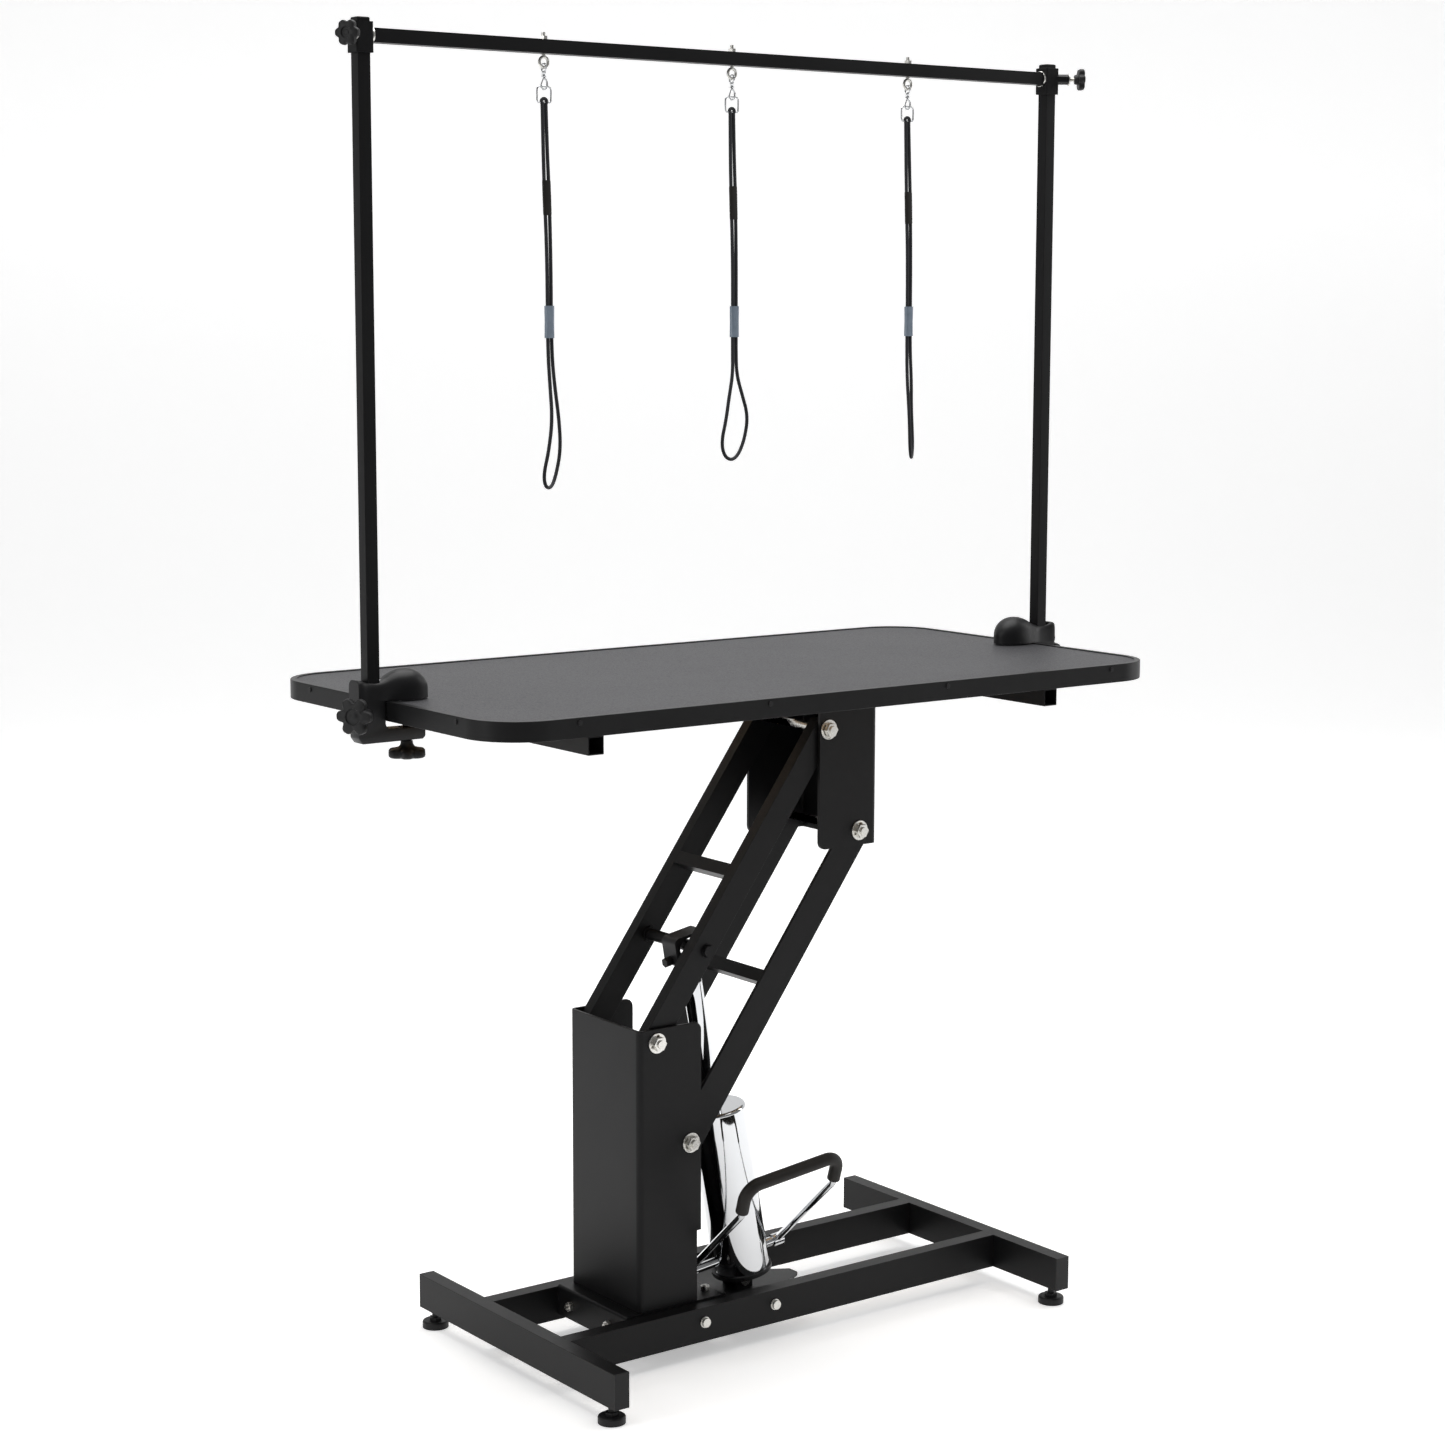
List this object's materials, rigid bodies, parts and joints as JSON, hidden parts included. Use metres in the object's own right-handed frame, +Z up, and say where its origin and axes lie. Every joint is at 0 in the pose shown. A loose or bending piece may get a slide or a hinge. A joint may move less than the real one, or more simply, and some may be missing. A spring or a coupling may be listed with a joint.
{
  "type": "grooming table",
  "caption": "Height-adjustable pet grooming table on a foot-pumped parallelogram lift, with a clamp-on H-shaped arm and hanging grooming loops.",
  "frame": {"origin": "on the floor under the middle of the object's box", "axes": "+X along the tabletop, +Y across it to the rear, +Z up"},
  "size_m": [1.348, 0.6272, 1.9285],
  "materials": {
    "black_frame": "semi-gloss black powder coat",
    "chrome": "polished chrome plate",
    "zinc": "bright zinc plated hardware",
    "black_casting": "satin black painted casting",
    "steel_tube": "drawn steel",
    "grip_rubber": "black rubber sleeve",
    "mat_rubber": "dark textured anti-slip mat",
    "trim": "black edge trim",
    "board": "plywood",
    "black_plastic": "moulded black plastic",
    "rope": "braided black nylon",
    "slider": "grey-blue sleeve"
  },
  "bodies": {
    "base": {"foot_left": "black_frame", "foot_right": "black_frame", "foot_end_caps": "black_plastic", "rail_front": "black_frame", "rail_rear": "black_frame", "column_base": "black_frame", "pump_bracket": "black_casting", "frame_bolts": "zinc", "column": "black_frame", "column_pivot_bolts": "zinc"},
    "upper_arm": {"upper_arm_front": "black_frame", "upper_arm_rear": "black_frame", "upper_arm_crossbar": "black_frame", "lift_shaft": "black_frame"},
    "lower_arm": {"lower_arm_front": "black_frame", "lower_arm_rear": "black_frame", "lower_arm_crossbar": "black_frame"},
    "table": {"top_bracket": "black_frame", "bracket_pivot_bolts": "zinc", "cross_tube_left": "black_frame", "cross_tube_right": "black_frame", "spine_tube": "black_frame", "tabletop_board": "board", "tabletop_mat": "mat_rubber", "edge_trim": "trim", "edge_screws": "black_plastic", "clamp_body_left": "black_casting", "clamp_body_right": "black_casting"},
    "pump": {"pump_base": "black_casting", "pump_cover": "chrome", "pump_cylinder": "steel_tube"},
    "pump_ram": {"ram": "chrome", "ram_eye": "black_casting"},
    "foot_pedal": {"pedal_bar": "chrome", "pedal_grip": "grip_rubber"},
    "arm_post_left": {"post_left": "black_frame"},
    "arm_post_right": {"post_right": "black_frame"},
    "arm_crossbar": {"crossbar": "black_frame", "sleeve_left": "black_frame", "sleeve_right": "black_frame", "eye_bolts": "zinc"},
    "foot_screw_front_left": {"levelling_foot_front_left": "black_plastic"},
    "foot_screw_front_right": {"levelling_foot_front_right": "black_plastic"},
    "foot_screw_rear_left": {"levelling_foot_rear_left": "black_plastic"},
    "foot_screw_rear_right": {"levelling_foot_rear_right": "black_plastic"},
    "clamp_spindle_left": {"clamp_screw_left": "black_plastic"},
    "lock_knob_left": {"post_knob_left": "black_plastic"},
    "bar_knob_left": {"sleeve_knob_left": "black_plastic"},
    "clamp_spindle_right": {"clamp_screw_right": "black_plastic"},
    "lock_knob_right": {"post_knob_right": "black_plastic"},
    "bar_knob_right": {"sleeve_knob_right": "black_plastic"},
    "loop_left": {"snap_hook_left": "zinc", "rope_left": "rope"},
    "rope_slider_left": {"slider_left": "slider"},
    "loop_middle": {"snap_hook_middle": "zinc", "rope_middle": "rope"},
    "rope_slider_middle": {"slider_middle": "slider"},
    "loop_right": {"snap_hook_right": "zinc", "rope_right": "rope"},
    "rope_slider_right": {"slider_right": "slider"}
  },
  "joints": [
    {"name": "table_lift", "type": "hinge", "parent": "base", "child": "upper_arm", "pos_m": [-0.19503, 0, 0.487], "axis": [0, 1, 0], "range_deg": [0, 55]},
    {"name": "lower_arm_swing", "type": "hinge", "parent": "base", "child": "lower_arm", "pos_m": [-0.13403, 0, 0.327], "axis": [0, 1, 0], "range_deg": [0, 55]},
    {"name": "table_level", "type": "hinge", "parent": "upper_arm", "child": "table", "pos_m": [0.1212, 0, 0.92225], "axis": [0, 1, 0], "range_deg": [-55, 0]},
    {"name": "pump_rock", "type": "hinge", "parent": "base", "child": "pump", "pos_m": [-0.00203, -0.031, 0.078], "axis": [0, 1, 0], "range_deg": [0, 6.34]},
    {"name": "ram_stroke", "type": "slide", "parent": "pump", "child": "pump_ram", "axis": [-0.1798, 0, 0.9837], "range_m": [-0.13453, 0]},
    {"name": "pedal_press", "type": "hinge", "parent": "pump", "child": "foot_pedal", "pos_m": [-0.0085, -0.031, 0.11341], "axis": [0.9936, 0, 0.1132], "range_deg": [-8, 32], "stiffness_Nm_per_rad": 12, "springref_deg": -8.02},
    {"name": "level_front_left", "type": "slide", "parent": "base", "child": "foot_screw_front_left", "axis": [0, 0, 1], "range_m": [-0.008, 0.004]},
    {"name": "level_front_right", "type": "slide", "parent": "base", "child": "foot_screw_front_right", "axis": [0, 0, 1], "range_m": [-0.008, 0.004]},
    {"name": "level_rear_left", "type": "slide", "parent": "base", "child": "foot_screw_rear_left", "axis": [0, 0, 1], "range_m": [-0.008, 0.004]},
    {"name": "level_rear_right", "type": "slide", "parent": "base", "child": "foot_screw_rear_right", "axis": [0, 0, 1], "range_m": [-0.008, 0.004]},
    {"name": "post_height_left", "type": "slide", "parent": "table", "child": "arm_post_left", "axis": [0, 0, 1], "range_m": [0, 0.03]},
    {"name": "post_height_right", "type": "slide", "parent": "table", "child": "arm_post_right", "axis": [0, 0, 1], "range_m": [0, 0.03]},
    {"name": "crossbar_height", "type": "slide", "parent": "arm_post_left", "child": "arm_crossbar", "axis": [0, 0, 1], "range_m": [-0.25, 0]},
    {"name": "clamp_screw_left", "type": "slide", "parent": "table", "child": "clamp_spindle_left", "axis": [0, 0, 1], "range_m": [-0.006, 0]},
    {"name": "post_lock_left", "type": "slide", "parent": "table", "child": "lock_knob_left", "axis": [-0.848, -0.5299, 0], "range_m": [0, 0.01]},
    {"name": "bar_lock_left", "type": "slide", "parent": "arm_crossbar", "child": "bar_knob_left", "axis": [-0.848, -0.5299, 0], "range_m": [0, 0.03]},
    {"name": "clamp_screw_right", "type": "slide", "parent": "table", "child": "clamp_spindle_right", "axis": [0, 0, 1], "range_m": [-0.006, 0]},
    {"name": "post_lock_right", "type": "slide", "parent": "table", "child": "lock_knob_right", "axis": [0.848, 0.5299, 0], "range_m": [0, 0.01]},
    {"name": "bar_lock_right", "type": "slide", "parent": "arm_crossbar", "child": "bar_knob_right", "axis": [0.848, -0.5299, 0], "range_m": [0, 0.03]},
    {"name": "loop_swing_left", "type": "hinge", "parent": "arm_crossbar", "child": "loop_left", "pos_m": [-0.32903, -0.012, 1.8845], "axis": [0, 1, 0], "range_deg": [-22, 22]},
    {"name": "slider_travel_left", "type": "slide", "parent": "loop_left", "child": "rope_slider_left", "axis": [0, 0, 1], "range_m": [0, 0.05]},
    {"name": "loop_swing_middle", "type": "hinge", "parent": "arm_crossbar", "child": "loop_middle", "pos_m": [-0.00403, -0.012, 1.8845], "axis": [0, 1, 0], "range_deg": [-22, 22]},
    {"name": "slider_travel_middle", "type": "slide", "parent": "loop_middle", "child": "rope_slider_middle", "axis": [0, 0, 1], "range_m": [0, 0.05]},
    {"name": "loop_swing_right", "type": "hinge", "parent": "arm_crossbar", "child": "loop_right", "pos_m": [0.32897, -0.012, 1.8845], "axis": [0, 1, 0], "range_deg": [-22, 22]},
    {"name": "slider_travel_right", "type": "slide", "parent": "loop_right", "child": "rope_slider_right", "axis": [0, 0, 1], "range_m": [0, 0.05]}
  ],
  "couplings": [
    {"joint": "lower_arm_swing", "follows": "table_lift", "ratio": 1},
    {"joint": "table_level", "follows": "table_lift", "ratio": -1},
    {"joint": "pump_rock", "follows": "table_lift", "ratio": 0.1151},
    {"joint": "ram_stroke", "follows": "table_lift", "m_per_rad": -0.14004},
    {"joint": "post_height_right", "follows": "post_height_left", "ratio": 1}
  ]
}
